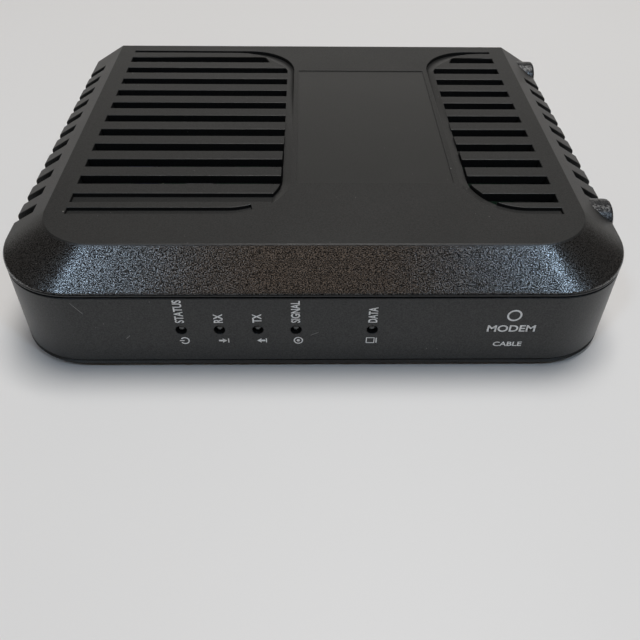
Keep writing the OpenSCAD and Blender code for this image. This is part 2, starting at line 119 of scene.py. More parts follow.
class Piece:
    """Gathers surface patches, each point with its own normal, and makes one mesh of them."""

    def __init__(self):
        self.v, self.n, self.f, self.m = [], [], [], []

    def grid(self, P, N=None, mat=0, out=None):
        P = np.asarray(P, float)
        nu, nv = P.shape[:2]
        if N is None:
            N = unit(np.cross(np.gradient(P, axis=0), np.gradient(P, axis=1)))
            if out is not None and np.mean(N @ np.array(out, float)) < 0:
                N = -N
        base = sum(len(x) for x in self.v)
        self.v.append(P.reshape(-1, 3))
        self.n.append(np.broadcast_to(N, P.shape).reshape(-1, 3))
        i, j = np.meshgrid(np.arange(nu - 1), np.arange(nv - 1), indexing="ij")
        a = base + (i * nv + j).ravel()
        q = np.stack([a, a + nv, a + nv + 1, a + 1], 1)
        d1 = P[1:, 1:] - P[:-1, :-1]
        d2 = P[:-1, 1:] - P[1:, :-1]
        g = np.cross(d1, d2)
        NN = np.broadcast_to(N, P.shape)
        side = np.einsum("ijk,ijk->", g, NN[1:, 1:] + NN[:-1, :-1])
        if side < 0:
            q = q[:, ::-1]
        area = np.linalg.norm(g, axis=-1).ravel()
        q = q[area > 1e-10]
        self.f.extend(tuple(r) for r in q)
        self.m.extend([mat] * len(q))

    def quad(self, a, b, c, d, normal, mat=0):
        """One four-sided face: rows a, b and c, d, all with one normal."""
        self.grid([[a, b], [c, d]], np.broadcast_to(unit(normal), (2, 2, 3)), mat)

    def flat(self, plane, loops, mat=0, h=0.0):
        loops = [np.asarray(l, float) for l in loops]
        tris = tessellate_polygon([[Vector((p[0], p[1], 0)) for p in l] for l in loops])
        pts = np.vstack(loops)
        base = sum(len(x) for x in self.v)
        P = plane.at(pts[:, 0], pts[:, 1], h)
        self.v.append(P)
        self.n.append(np.broadcast_to(plane.n, P.shape))
        for t in tris:
            g = np.cross(P[t[1]] - P[t[0]], P[t[2]] - P[t[0]])
            if np.linalg.norm(g) < 1e-9:
                continue
            t = t if g @ plane.n > 0 else t[::-1]
            self.f.append(tuple(base + k for k in t))
            self.m.append(mat)

    def opening(self, plane, pts, r=0.15, depth=2.2, mat=0, floor=None, steps=4, wall=None):
        """Rounded rim and walls of a hole. pts is its outline on the plane; r and depth may be one
        number or one for each edge (edge i runs from point i to i + 1), and depth may be a pair.
        Returns the outline of the hole at the plane itself."""
        pts = np.asarray(pts, float)
        n = len(pts)
        r = np.broadcast_to(np.asarray(r, float), n).copy()
        depth = np.asarray(depth, float)
        depth = np.stack([np.broadcast_to(depth, n)] * 2, 1) if depth.ndim < 2 else depth.copy()
        x, y = pts[:, 0], pts[:, 1]
        if np.sum(x * np.roll(y, -1) - np.roll(x, -1) * y) < 0:
            pts = pts[::-1]
            r = np.roll(r[::-1], -1)
            depth = np.roll(depth[::-1], -1, axis=0)[:, ::-1]
        d = np.roll(pts, -1, axis=0) - pts
        e = unit(np.stack([d[:, 1], -d[:, 0]], 1))
        shift = np.zeros_like(pts)
        soft = np.zeros((n, 2, 2))
        for i in range(n):
            a, b = e[i - 1], e[i]
            c = a @ b
            if c > 0.8:
                m = unit(a + b)
                shift[i] = m * (r[i - 1] + r[i]) / 2 / max(m @ a, 0.5)
                soft[i] = m
            else:
                shift[i] = np.linalg.solve(np.array([a, b]), [r[i - 1], r[i]])
                soft[i] = a, b
        t = np.linspace(0, math.pi / 2, steps + 1)
        for i in range(n):
            k = (i + 1) % n
            if np.linalg.norm(pts[k] - pts[i]) < 1e-7:
                continue
            na, nb = soft[i][1], soft[k][0]
            if r[i] > 1e-6:
                P, N = [], []
                for q in t:
                    s = 1 - math.sin(q)
                    z = -r[i] * (1 - math.cos(q))
                    a, b = pts[i] + shift[i] * s, pts[k] + shift[k] * s
                    P.append(plane.at([a[0], b[0]], [a[1], b[1]], [z, z]))
                    N.append(plane.turn([-na[0] * math.sin(q), -nb[0] * math.sin(q)],
                                        [-na[1] * math.sin(q), -nb[1] * math.sin(q)],
                                        [math.cos(q)] * 2))
                self.grid(P, np.array(N), mat)
            z = -r[i] if r[i] > 1e-6 else 0.0
            lows = np.minimum(-depth[i], z - 1e-4)
            a, b = (pts[i], pts[k]) if r[i] > 1e-6 else (pts[i] + shift[i], pts[k] + shift[k])
            P = [plane.at([a[0], b[0]], [a[1], b[1]], [z, z]),
                 plane.at([pts[i][0], pts[k][0]], [pts[i][1], pts[k][1]], lows)]
            N = plane.turn([-na[0], -nb[0]], [-na[1], -nb[1]], [0, 0])
            self.grid(P, np.array([N, N]), mat if wall is None else wall)
        if floor is not None:
            self.flat(plane, [pts], floor, -float(depth.max()))
        return pts + shift

    def lathe(self, centre, axis, profile, mat=0, steps=48, shape=None):
        """Turns (distance along axis, radius) points round the axis. shape(angle, radius) may vary it."""
        axis = np.array(axis, float)
        side = unit(np.cross(axis, [0.3, 0.5, 0.81]))
        up = np.cross(axis, side)
        ang = np.linspace(0, 2 * math.pi, steps + 1)
        P = np.zeros((len(profile), steps + 1, 3))
        for i, (s, rad) in enumerate(profile):
            for j, w in enumerate(ang):
                q = shape(w, rad, s) if shape else rad
                P[i, j] = np.array(centre) + axis * s + (side * math.cos(w) + up * math.sin(w)) * q
        du, dv = np.gradient(P, axis=0), np.gradient(P, axis=1)
        dv[:, 0] = dv[:, -1] = (P[:, 1] - P[:, -2]) / 2
        N = unit(np.cross(du, dv))
        mid = P.mean(axis=1, keepdims=True)
        flatness = np.einsum("ijk,ijk->ij", N, P - mid).mean()
        if flatness < 0:
            N = -N
        thin = np.linalg.norm(P - mid, axis=-1) < 1e-6
        if thin.any():
            N = N.copy()
            for i in range(len(profile)):
                if thin[i].all():
                    k = i - 1 if i else 1
                    N[i] = unit(N[k].mean(axis=0))
        self.grid(P, N, mat)

    def make(self, name, mats, *nodes, body="casing", slot=None):
        v = to_world(np.vstack(self.v))
        n = np.vstack(self.n)
        me = bpy.data.meshes.new(name)
        me.from_pydata(v.tolist(), [], self.f)
        for m in mats:
            me.materials.append(m)
        me.polygons.foreach_set("material_index", self.m)
        me.polygons.foreach_set("use_smooth", [True] * len(self.f))
        me.update()
        me.normals_split_custom_set_from_vertices(unit(n).tolist())
        ob = bpy.data.objects.new(name, me)
        bpy.context.scene.collection.objects.link(ob)
        if nodes:
            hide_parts(*nodes)
        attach(ob, body)
        return ob


# ---- Materials --------------------------------------------------------------

class Nodes:
    """Short way to wire a procedural material."""

    def __init__(self, name):
        self.mat = bpy.data.materials.new(name)
        self.mat.use_nodes = True
        self.t = self.mat.node_tree
        self.bsdf = self.t.nodes["Principled BSDF"]
        self.co = self.t.nodes.new("ShaderNodeTexCoord").outputs["Object"]

    def put(self, socket, value):
        if isinstance(value, bpy.types.NodeSocket):
            self.t.links.new(value, socket)
        elif value is not None:
            socket.default_value = value

    def noise(self, scale, detail=2.0, rough=0.5, stretch=None):
        n = self.t.nodes.new("ShaderNodeTexNoise")
        n.inputs["Scale"].default_value = scale
        n.inputs["Detail"].default_value = detail
        n.inputs["Roughness"].default_value = rough
        self.put(n.inputs["Vector"], self.stretch(stretch) if stretch else self.co)
        return n.outputs["Fac"]

    def stretch(self, by):
        m = self.t.nodes.new("ShaderNodeMapping")
        m.inputs["Scale"].default_value = by
        self.put(m.inputs["Vector"], self.co)
        return m.outputs["Vector"]

    def cells(self, scale):
        n = self.t.nodes.new("ShaderNodeTexVoronoi")
        n.inputs["Scale"].default_value = scale
        self.put(n.inputs["Vector"], self.co)
        return n

    def math(self, op, a, b=None, c=None):
        n = self.t.nodes.new("ShaderNodeMath")
        n.operation = op
        for s, v in zip(n.inputs, (a, b, c)):
            self.put(s, v)
        return n.outputs[0]

    def remap(self, v, a, b, c, d):
        n = self.t.nodes.new("ShaderNodeMapRange")
        for s, x in zip(n.inputs, (v, a, b, c, d)):
            self.put(s, x)
        return n.outputs[0]

    def mix(self, fac, a, b):
        n = self.t.nodes.new("ShaderNodeMix")
        n.data_type = "RGBA"
        self.put(n.inputs[0], fac)
        self.put(n.inputs[6], a)
        self.put(n.inputs[7], b)
        return n.outputs[2]

    def xyz(self):
        n = self.t.nodes.new("ShaderNodeSeparateXYZ")
        self.put(n.inputs[0], self.co)
        return n.outputs

    def bump(self, height, distance, strength=1.0, normal=None):
        n = self.t.nodes.new("ShaderNodeBump")
        self.put(n.inputs["Height"], height)
        n.inputs["Distance"].default_value = distance
        self.put(n.inputs["Strength"], strength)
        if normal is not None:
            self.put(n.inputs["Normal"], normal)
        return n.outputs["Normal"]

    def finish(self, color=None, rough=None, normal=None, **sockets):
        self.put(self.bsdf.inputs["Base Color"], color)
        self.put(self.bsdf.inputs["Roughness"], rough)
        self.put(self.bsdf.inputs["Normal"], normal)
        for k, v in sockets.items():
            self.bsdf.inputs[k.replace("_", " ")].default_value = v
        return self.mat


def rgb(r, g, b):
    return (r, g, b, 1.0)


def dusty(m, base, amount=0.5, dust=rgb(0.42, 0.41, 0.39)):
    """Base colour with sparse pale specks of dust."""
    pick = m.cells(130.0)
    near = m.math("LESS_THAN", pick.outputs["Distance"], 0.022)
    some = m.math("GREATER_THAN", m.noise(60.0, 1.0), 0.52)
    fine = m.cells(420.0)
    near2 = m.math("LESS_THAN", fine.outputs["Distance"], 0.04)
    some2 = m.math("GREATER_THAN", m.noise(95.0, 1.0), 0.57)
    fac = m.math("MAXIMUM", m.math("MULTIPLY", near, some), m.math("MULTIPLY", near2, some2))
    return m.mix(m.math("MULTIPLY", fac, amount), base, dust)


def scratch(m, col, a, b, width=0.07, tint=rgb(0.3, 0.3, 0.29), faint=0.6):
    """A hair-thin mark between two points of the case (millimetres)."""
    a, b = (Vector(to_world(q)) for q in (a, b))
    d = (b - a).normalized()
    rel = m.t.nodes.new("ShaderNodeVectorMath")
    rel.operation = "SUBTRACT"
    m.put(rel.inputs[0], m.co)
    rel.inputs[1].default_value = a
    dot = m.t.nodes.new("ShaderNodeVectorMath")
    dot.operation = "DOT_PRODUCT"
    m.put(dot.inputs[0], rel.outputs[0])
    dot.inputs[1].default_value = d
    cross = m.t.nodes.new("ShaderNodeVectorMath")
    cross.operation = "CROSS_PRODUCT"
    m.put(cross.inputs[0], rel.outputs[0])
    cross.inputs[1].default_value = d
    far = m.t.nodes.new("ShaderNodeVectorMath")
    far.operation = "LENGTH"
    m.put(far.inputs[0], cross.outputs[0])
    along = dot.outputs["Value"]
    on = m.math("MULTIPLY", m.math("GREATER_THAN", along, 0.0), m.math("LESS_THAN", along, (b - a).length))
    on = m.math("MULTIPLY", on, m.math("LESS_THAN", far.outputs["Value"], width * MM))
    return m.mix(m.math("MULTIPLY", on, faint), col, tint)


def cover_plastic():
    """Satin charcoal: fine grain on the flat top, coarse moulded grain on the front slope."""
    m = Nodes("cover_plastic")
    _, y, z = m.xyz()
    front = m.remap(y, (FY + 20) * MM, (FY + 9) * MM, 0.0, 1.0)
    low = m.remap(z, (TOP - 0.08) * MM, (TOP - 0.35) * MM, 0.0, 1.0)
    coarse_here = m.math("MULTIPLY", front, low)
    tone = m.remap(m.noise(38.0, 3.0), 0.3, 0.7, 0.0, 1.0)
    base = m.mix(tone, rgb(0.0125, 0.0125, 0.012), rgb(0.016, 0.016, 0.0152))
    pits = m.noise(4400.0, 2.0, 0.55)
    peaks = m.remap(pits, 0.41, 0.61, 0.0, 1.0)
    # Coarse-grain colour: darker in the pits and lighter on the peaks. This paints shade into the pits and
    # glints onto the peaks, and also gives the grain its tone.
    grain_pit_shade_peak_glint = m.mix(peaks, rgb(0.0085, 0.008, 0.0076), rgb(0.027, 0.0255, 0.0245))
    base = m.mix(coarse_here, base, grain_pit_shade_peak_glint)
    fine = m.noise(3300.0, 2.0, 0.6)
    n1 = m.bump(fine, 0.00003, 0.4)
    n2 = m.bump(pits, 0.000022, coarse_here, n1)
    wide = m.remap(m.noise(60.0, 2.0), 0.3, 0.7, 0.42, 0.45)
    rough = m.math("ADD", wide, m.math("MULTIPLY", coarse_here, -0.18))
    sparkle = m.remap(pits, 0.54, 0.66, 0.0, 1.0)
    shine = m.math("ADD", m.math("MULTIPLY", peaks, 1.4), sparkle)
    smooth_shine = m.remap(fine, 0.3, 0.7, 0.35, 0.65)
    level = m.math("ADD", m.math("MULTIPLY", coarse_here, shine),
                   m.math("MULTIPLY", m.math("SUBTRACT", 1.0, coarse_here), smooth_shine))
    m.put(m.bsdf.inputs["Specular IOR Level"], level)
    base = scratch(m, dusty(m, base, 0.5), (-11.5, 6.6, -1.5), (-8.2, 9.4, 0), 0.04)
    return m.finish(base, rough, n2, IOR=1.5)


def satin_plastic(name, base, rough=0.42, grain=4200.0, depth=0.00003, dust=0.35, marks=()):
    m = Nodes(name)
    tone = m.remap(m.noise(45.0, 3.0), 0.3, 0.7, 0.0, 1.0)
    b2 = rgb(*(c * 1.07 for c in base[:3]))
    col = m.mix(tone, base, b2)
    n1 = m.bump(m.noise(grain, 2.0, 0.6), depth, 0.5)
    r = m.remap(m.noise(70.0, 2.0), 0.3, 0.7, rough - 0.012, rough + 0.015)
    m.put(m.bsdf.inputs["Specular IOR Level"], m.remap(m.noise(grain, 2.0, 0.6), 0.3, 0.7, 0.35, 0.65))
    col = dusty(m, col, dust)
    for a, b in marks:
        col = scratch(m, col, a, b)
    return m.finish(col, r, n1, IOR=1.5)


def rubber(name, base, rough=0.6, grain=1800.0, depth=0.0001):
    m = Nodes(name)
    tone = m.remap(m.noise(300.0, 3.0), 0.3, 0.7, 0.0, 1.0)
    col = m.mix(tone, base, rgb(*(c * 1.4 for c in base[:3])))
    bumps = m.noise(grain, 3.0, 0.65)
    n1 = m.bump(bumps, depth, 0.8)
    m.put(m.bsdf.inputs["Specular IOR Level"], m.remap(bumps, 0.4, 0.62, 0.1, 1.6))
    r = m.remap(m.noise(500.0, 2.0), 0.3, 0.7, rough - 0.08, rough + 0.05)
    return m.finish(dusty(m, col, 0.2), r, n1, IOR=1.5)


def metal(name, base, rough=0.28, brushed=(1, 1, 1), wear=0.5):
    m = Nodes(name)
    streak = m.noise(900.0, 3.0, 0.6, brushed)
    tone = m.remap(streak, 0.3, 0.7, 0.0, wear)
    col = m.mix(tone, base, rgb(*(c * 0.72 for c in base[:3])))
    r = m.remap(m.noise(220.0, 3.0), 0.3, 0.7, rough - 0.06, rough + 0.12)
    n1 = m.bump(streak, 0.00002, 0.4)
    return m.finish(col, r, n1, Metallic=1.0)


def resin(name, base, rough=0.2, **more):
    m = Nodes(name)
    tone = m.remap(m.noise(900.0, 2.0), 0.3, 0.7, 0.0, 1.0)
    col = m.mix(tone, base, rgb(*(c * 0.8 for c in base[:3])))
    r = m.remap(m.noise(700.0, 2.0), 0.3, 0.7, rough, rough + 0.08)
    n1 = m.bump(m.noise(1500.0, 2.0), 0.00001, 0.3)
    return m.finish(col, r, n1, **more)


def circuit_board():
    m = Nodes("solder_mask")
    x, y, _ = m.xyz()
    lines = m.math("SINE", m.math("MULTIPLY", x, 2600.0))
    cross = m.math("SINE", m.math("MULTIPLY", y, 2100.0))
    pick = m.math("GREATER_THAN", m.noise(55.0, 1.0), 0.5)
    tracks = m.math("ADD", m.math("MULTIPLY", lines, pick),
                    m.math("MULTIPLY", cross, m.math("SUBTRACT", 1.0, pick)))
    mask = m.remap(tracks, 0.55, 0.75, 0.0, 1.0)
    col = m.mix(mask, rgb(0.004, 0.018, 0.010), rgb(0.007, 0.030, 0.016))
    pads = m.math("LESS_THAN", m.cells(260.0).outputs["Distance"], 0.09)
    col = m.mix(m.math("MULTIPLY", pads, 0.6), col, rgb(0.16, 0.15, 0.12))
    return m.finish(col, m.remap(mask, 0, 1, 0.38, 0.3), m.bump(mask, 0.00002, 0.5))


def label_stock():
    m = Nodes("label_stock")
    fibre = m.noise(1500.0, 4.0, 0.7)
    col = m.mix(m.remap(fibre, 0.3, 0.7, 0, 1), rgb(0.55, 0.55, 0.53), rgb(0.62, 0.62, 0.60))
    return m.finish(col, m.remap(fibre, 0.3, 0.7, 0.35, 0.5), m.bump(fibre, 0.00001, 0.4))


CASE = cover_plastic()
BASE = satin_plastic("case_plastic", rgb(0.020, 0.020, 0.019), 0.42, 3600.0, 0.00005, 0.3)
PANEL = satin_plastic("panel_plastic", rgb(0.021, 0.021, 0.020), 0.38, 5200.0, 0.00002, 0.5)
# Painted shade: the case plastic made near black for the walls of slots, notches, grooves and LED holes and
# for the gap under the bezel, standing in for the shade inside them.
PAINTED_SHADE = satin_plastic("painted_shade_plastic", rgb(0.004, 0.004, 0.004), 0.6, 3000.0, 0.00003, 0.15)
BEZEL = satin_plastic("bezel_plastic", rgb(0.0115, 0.013, 0.0135), 0.36, 3400.0, 0.00003, 0.45,
                      [((-54.6, 0.1, -10.2), (-52.4, 0, -13.4)), ((-44.0, 0, -21.2), (-43.0, 0, -20.2)),
                       ((-1.2, 0, -20.2), (0.6, 0, -19.3))])
FOOT = rubber("foot_rubber", rgb(0.022, 0.022, 0.022))
SIDE_FOOT = rubber("side_foot_rubber", rgb(0.014, 0.0145, 0.016), 0.36, 1800.0, 0.0001)
INK = resin("print_ink", rgb(0.85, 0.86, 0.86), 0.5)

# ---- Top cover --------------------------------------------------------------

TOPFACE = Plane((0, 0, 0), (1, 0, 0), (0, 1, 0), (0, 0, 1))
EDGE_R = 0.4


def section(P, Q, drop, rq, low=SEAM, inward=1.8):
    """Profile from the flat top at P down the slope to Q and the cover's lower edge."""
    P, Q = np.array(P, float), np.array(Q, float)
    run = np.linalg.norm(Q - P)
    e = (Q - P) / run
    th = math.atan2(drop, run)
    tp = EDGE_R * math.tan(th / 2)
    pts = []
    for a in np.linspace(0, th, 6):
        pts.append((*(P - e * tp + e * EDGE_R * math.sin(a)), -EDGE_R + EDGE_R * math.cos(a)))
    tq = rq * math.tan((math.pi / 2 - th) / 2)
    c, zc = Q - e * rq, -drop - tq
    start = np.array([*(c + e * rq * math.sin(th)), zc + rq * math.cos(th)])
    a0 = np.array(pts[-1])
    for t in np.linspace(0, 1, 10)[1:-1]:
        pts.append(tuple(a0 + (start - a0) * t))
    for a in np.linspace(th, math.pi / 2, 7):
        pts.append((*(c + e * rq * math.sin(a)), zc + rq * math.cos(a)))
    rb = 0.1
    c = Q - e * rb
    for a in np.linspace(math.pi / 2, math.pi, 4):
        pts.append((*(c + e * rb * math.sin(a)), low + rb + rb * math.cos(a)))
    pts.append((*(Q - e * inward), low))
    return np.array(pts)


SIDE_DROP, SIDE_RQ = 5.69, 1.3
FRONT_DROP, FRONT_RQ = 7.45, 0.25


def corner_section(side, phi):
    s, c = math.sin(math.radians(phi)), math.cos(math.radians(phi))
    P = (side * (PLATEAU - PLATEAU_CORNER + PLATEAU_CORNER * s),
         PLATEAU_FRONT + PLATEAU_CORNER - PLATEAU_CORNER * c)
    Q = (side * (HW - CORNER + CORNER * s), CORNER - CORNER * c)
    t = smooth(phi / 90)
    return section(P, Q, FRONT_DROP + (SIDE_DROP - FRONT_DROP) * t, FRONT_RQ + (SIDE_RQ - FRONT_RQ) * t)


def side_section(side, y):
    return section((side * PLATEAU, y), (side * HW, y), SIDE_DROP, SIDE_RQ)


NOTCH_X = 67.3                    # how far in the side notches reach
NOTCH_HALF = 1.7
NOTCH_FIRST = 25.75
PITCH = 8.0                       # of the notches and of the vent slots
REAR_R = 0.35
SIDE_START = 23.0                 # where the corner sections end


def cover():
    p = Piece()
    rows = [side_section(-1, SIDE_START)]
    rows += [corner_section(-1, a) for a in np.linspace(90, 0, 28)]
    wide, top_wide = HW - CORNER, PLATEAU - PLATEAU_CORNER
    for t in np.linspace(-1, 1, 41)[1:-1]:
        rows.append(section((t * top_wide, PLATEAU_FRONT), (t * wide, 0), FRONT_DROP, FRONT_RQ))
    rows += [corner_section(1, a) for a in np.linspace(0, 90, 28)]
    rows.append(side_section(1, SIDE_START))
    rows = np.array(rows)
    p.grid(rows, out=(0, -0.3, 1))
    outline = [r[0][:2] for r in rows]
    y1 = LEN - REAR_R
    ys = np.linspace(SIDE_START, y1, 24)
    outline += [(rows[-1][0][0], y) for y in ys[1:]]
    outline += [(rows[0][0][0], y) for y in ys[::-1][:-1]]

    for side in (-1, 1):
        full = side_section(side, 0.0)
        cut = np.flatnonzero(np.abs(full[:, 0]) < NOTCH_X)[-1] + 1
        a, b = full[cut - 1], full[cut]
        edge = a + (b - a) * (NOTCH_X - abs(a[0])) / (abs(b[0]) - abs(a[0]))
        inner = np.vstack([full[:cut], edge])
        outer = np.vstack([edge, full[cut:]])
        p.grid([inner + [0, y, 0] for y in ys], out=(0, 0, 1))
        first, last = (0, 10) if side < 0 else (1, 9)
        middles = [NOTCH_FIRST + PITCH * k for k in range(first, last + 1)]
        starts = [SIDE_START] + [m + NOTCH_HALF for m in middles]
        ends = [m - NOTCH_HALF for m in middles] + [y1]
        n = np.gradient(outer, axis=0)
        n = unit(np.stack([n[:, 2], 0 * n[:, 0], -n[:, 0]], 1)) * (1 if side > 0 else -1)
        n = np.array([v if v @ np.array([side, 0, 0.3]) > -0.1 else -v for v in n])
        n[-1] = (0, 0, -1)
        r = 0.2
        for a, b in zip(starts, ends):
            ya = a + (r if a > SIDE_START else 0)
            yb = b - (r if b < y1 else 0)
            p.grid([outer + [0, ya, 0], outer + [0, yb, 0]], out=(side, 0, 0.6))
            for y, d, go in ((ya, -1, a > SIDE_START), (yb, 1, b < y1)):
                if not go:
                    continue
                P, N = [], []
                for t in np.linspace(0, math.pi / 2, 4):
                    P.append(outer - n * r * (1 - math.cos(t)) + [0, y + d * r * math.sin(t), 0])
                    N.append(unit(n * math.cos(t) + np.array([0, d, 0]) * math.sin(t)))
                p.grid(P, np.array(N))
                face = P[-1][:-1]
                low = face.copy()
                low[:, 2] = SEAM
                # The notch end walls are in the painted-shade plastic (material 2).
                p.grid([face, low], np.broadcast_to([0.0, d, 0.0], (2, len(face), 3)), 2)
        for m in middles:
            ya, yb = m - NOTCH_HALF, m + NOTCH_HALF
            # The notch's back wall is in the painted-shade plastic too.
            p.quad((edge[0], ya, edge[2]), (edge[0], yb, edge[2]),
                   (edge[0], ya, SEAM - 1.5), (edge[0], yb, SEAM - 1.5), (side, 0, 0), 2)

    # Rear wall with a rounded upper edge
    left, right = side_section(-1, 0.0)[:-4], side_section(1, 0.0)[:-4]
    middle = [(x, 0, 0) for x in np.linspace(-PLATEAU + 0.7, PLATEAU - 0.7, 15)]
    prof = np.vstack([left[::-1], middle, right])
    n = np.gradient(prof, axis=0)
    n = unit(np.stack([-n[:, 2], 0 * n[:, 0], n[:, 0]], 1))
    P, N = [], []
    for t in np.linspace(0, math.pi / 2, 5):
        P.append(prof - n * REAR_R * (1 - math.cos(t)) + [0, y1 + REAR_R * math.sin(t), 0])
        N.append(unit(n * math.cos(t) + np.array([0, 1, 0]) * math.sin(t)))
    p.grid(P, np.array(N))
    low = P[-1].copy()
    low[:, 2] = SEAM
    p.grid([P[-1], low], np.broadcast_to([0.0, 1.0, 0.0], (2, len(low), 3)))

    holes = grille(p, -1, 6.0) + grille(p, 1, 35.8)
    x0, x1, y0, y1 = -4.6, 34.4, 33.3, 98.7
    panel = [(x0, y0), (x1, y0), (x1, y1), (x0, y1)]
    holes.append(p.opening(TOPFACE, panel, 0.08, 0.2, floor=1))
    p.flat(TOPFACE, [outline] + holes)
    return p.make("cover_shell", [CASE, PANEL, PAINTED_SHADE], "top_cover", slot="case_plastic")


OUT_Q = 58.4                      # outer ends of the slots, from the middle
SLOT_W = 3.72
FIRST = 24.78                     # front edge of the foremost slot
GRILLE_R = 15.0                   # plan radius of a grille's inner corners
GRILLE_FRONT, GRILLE_REAR = 34.9, 98.7
MOAT = 0.85                       # depth of the groove in front of a grille
RIM_DEPTH = 1.05                  # depth of the rear groove and of the blind slot
SLOT_DEPTH = 2.2


def grille(p, side, q_in):
    """One grille: slots, and the strip round them that turns from a groove into a bevel."""
    qc = q_in + GRILLE_R
    q_lim = OUT_Q
    y_rear, y_front = GRILLE_REAR, GRILLE_FRONT
    left = side < 0

    def path(inset):
        """Points and inward normals along the outline, from the rear outer end to the front."""
        out = [((q, y_rear + GRILLE_R - inset), (0, -1), 0, 90.0) for q in (q_lim, qc + 4)]
        for a in np.linspace(90, 0, 25):
            c, s = math.cos(math.radians(a)), math.sin(math.radians(a))
            out.append(((qc - (GRILLE_R - inset) * c, y_rear + (GRILLE_R - inset) * s), (c, -s), 1, a))
        for y in np.linspace(y_rear, y_front, 33)[1:-1]:
            out.append(((q_in + inset, y), (1, 0), 2, y))
        for a in np.append(np.arange(90.0, 46.5, -2.5), 46.0) if left else np.arange(90.0, -0.1, -2.5):
            c, s = math.sin(math.radians(a)), math.cos(math.radians(a))
            out.append(((qc - (GRILLE_R - inset) * c, y_front - (GRILLE_R - inset) * s), (c, s), 3, a))
        if not left:
            out.append(((q_lim, y_front - GRILLE_R + inset), (0, 1), 4, 0))
        return out

    def shape(part, v):
        """Depth of the outer edge, depth of the inner edge, and width of the strip."""
        if part == 0:
            return RIM_DEPTH, 0.05, 1.6
        if part == 1:
            swell = min(90, (90 - v) * 2 if v > 45 else v * 2)
            return RIM_DEPTH, 0.0, 2.0 + 2.2 * math.sin(math.radians(swell))
        if part == 2:
            return RIM_DEPTH * float(smooth((v - 52) / 40)), 0.5 * float(smooth((80 - v) / 35)), 2.0
        if left:
            return 0.0, 0.5, 2.0 - 1.3 * float(smooth((60.5 - v) / 14.5))
        k = float(smooth((82 - v) / 22)) if part == 3 else 1.0
        return MOAT * k, 0.5 + (MOAT - 0.5) * k, 2.0 + 0.55 * k

    base = path(0.0)
    O, I, dO, dI = [], [], [], []
    for (pt, nrm, part, v) in base:
        d0, d1, w = shape(part, v)
        O.append(pt)
        I.append((pt[0] + nrm[0] * w, pt[1] + nrm[1] * w))
        dO.append(d0)
        dI.append(d1)
    O, I, dO, dI = map(np.array, (O, I, dO, dI))

    def inner_end(y, gap):
        """Where the strip's inner edge is at this y, and gap further out."""
        parts = np.array([b[2] for b in base])
        use = (parts > 0) & (parts < 4)
        ys, qs = I[use][:, 1], I[use][:, 0]
        nrm = np.array([b[1] for b in base])[use]
        gx, gy = qs + nrm[:, 0] * gap, ys + nrm[:, 1] * gap
        order = np.argsort(gy)
        return float(np.interp(y, gy[order], gx[order]))

    def gap_at(y):
        return 0.5 * float(smooth((62 - y) / 22))

    pts, rr, dd = [], [], []

    def edge(pt, r, d0, d1=None):
        pts.append((side * pt[0], pt[1]))
        rr.append(r)
        dd.append((d0, d0 if d1 is None else d1))

    for i in range(len(O) - 1):
        edge(O[i], min(0.15, max(dO[i], dO[i + 1]) * 0.4), dO[i], dO[i + 1])
    if left:
        edge(O[-1], 0.0, dO[-1], 0.5)
        edge(I[-1], 0.2, SLOT_DEPTH)
    else:
        edge(O[-1], 0.2, MOAT)
        edge((q_lim, I[-1][1]), 0.2, SLOT_DEPTH)
        for a in np.arange(0.0, 34.0, 3.0):
            s, c = math.sin(math.radians(a)), math.cos(math.radians(a))
            edge((qc - 12.4 * s, y_front - 12.4 * c), 0.15, SLOT_DEPTH)
        edge((qc - 7.3, FIRST), 0.2, SLOT_DEPTH)
    for k in range(10):
        y0, y1 = FIRST + PITCH * k, FIRST + PITCH * k + SLOT_W
        y2 = y0 + PITCH
        edge((q_lim, y0), 0.2, SLOT_DEPTH)
        edge((q_lim, y1), 0.2, SLOT_DEPTH)
        if k == 9:
            break
        for j, y in enumerate(np.linspace(y1, y2, 7)):
            gap = gap_at(y)
            r = 0.2 if j == 6 else (0.15 if gap > 0.02 else 0.0)
            edge((inner_end(y, gap), y), r, SLOT_DEPTH)
    y_last = FIRST + PITCH * 9 + SLOT_W
    start = inner_end(y_last, 0)
    edge((start, y_last), 0.0, SLOT_DEPTH)
    for i in range(len(I) - 1, 1, -1):
        if base[i][2] <= 1 and I[i][1] > y_last + 0.3:
            edge(I[i], 0.0, SLOT_DEPTH)
    edge(I[1], 0.0, SLOT_DEPTH)
    edge(I[0], 0.1, 0.05, dO[0])
    # The slot walls are in the painted-shade plastic (wall=2).
    comb = p.opening(TOPFACE, pts, rr, dd, wall=2)

    # The strip itself: a little crowned, with a rounded inner edge and a wall below it
    rows = []
    for o, i, a, b in zip(O, I, dO, dI):
        d = i - o
        row = []
        for t in np.linspace(0, 1, 6):
            q = o + d * t
            z = -a + (a - b) * t + 0.12 * t * (1 - t) * (1 if b > 0.2 else -1)
            row.append((side * q[0], q[1], z))
        w = np.linalg.norm(d)
        e = d / w
        for t in (0.35, 0.7, 1.0):
            q = o + d + e * 0.12 * math.sin(t * math.pi / 2)
            row.append((side * q[0], q[1], -b - 0.12 * (1 - math.cos(t * math.pi / 2))))
        rows.append(row)
    rows = np.array(rows)
    p.grid(rows, out=(0, 0, 1))
    tail = rows[:, -1:, :]
    low = tail.copy()
    low[..., 2] = -SLOT_DEPTH
    N = np.zeros((len(rows), 2, 3))
    for i, bse in enumerate(base):
        N[i, :] = (side * bse[1][0], bse[1][1], 0)
    # The wall under the strip is in the painted-shade plastic.
    p.grid(np.concatenate([tail, low], axis=1), N, 2)

    holes = [comb]
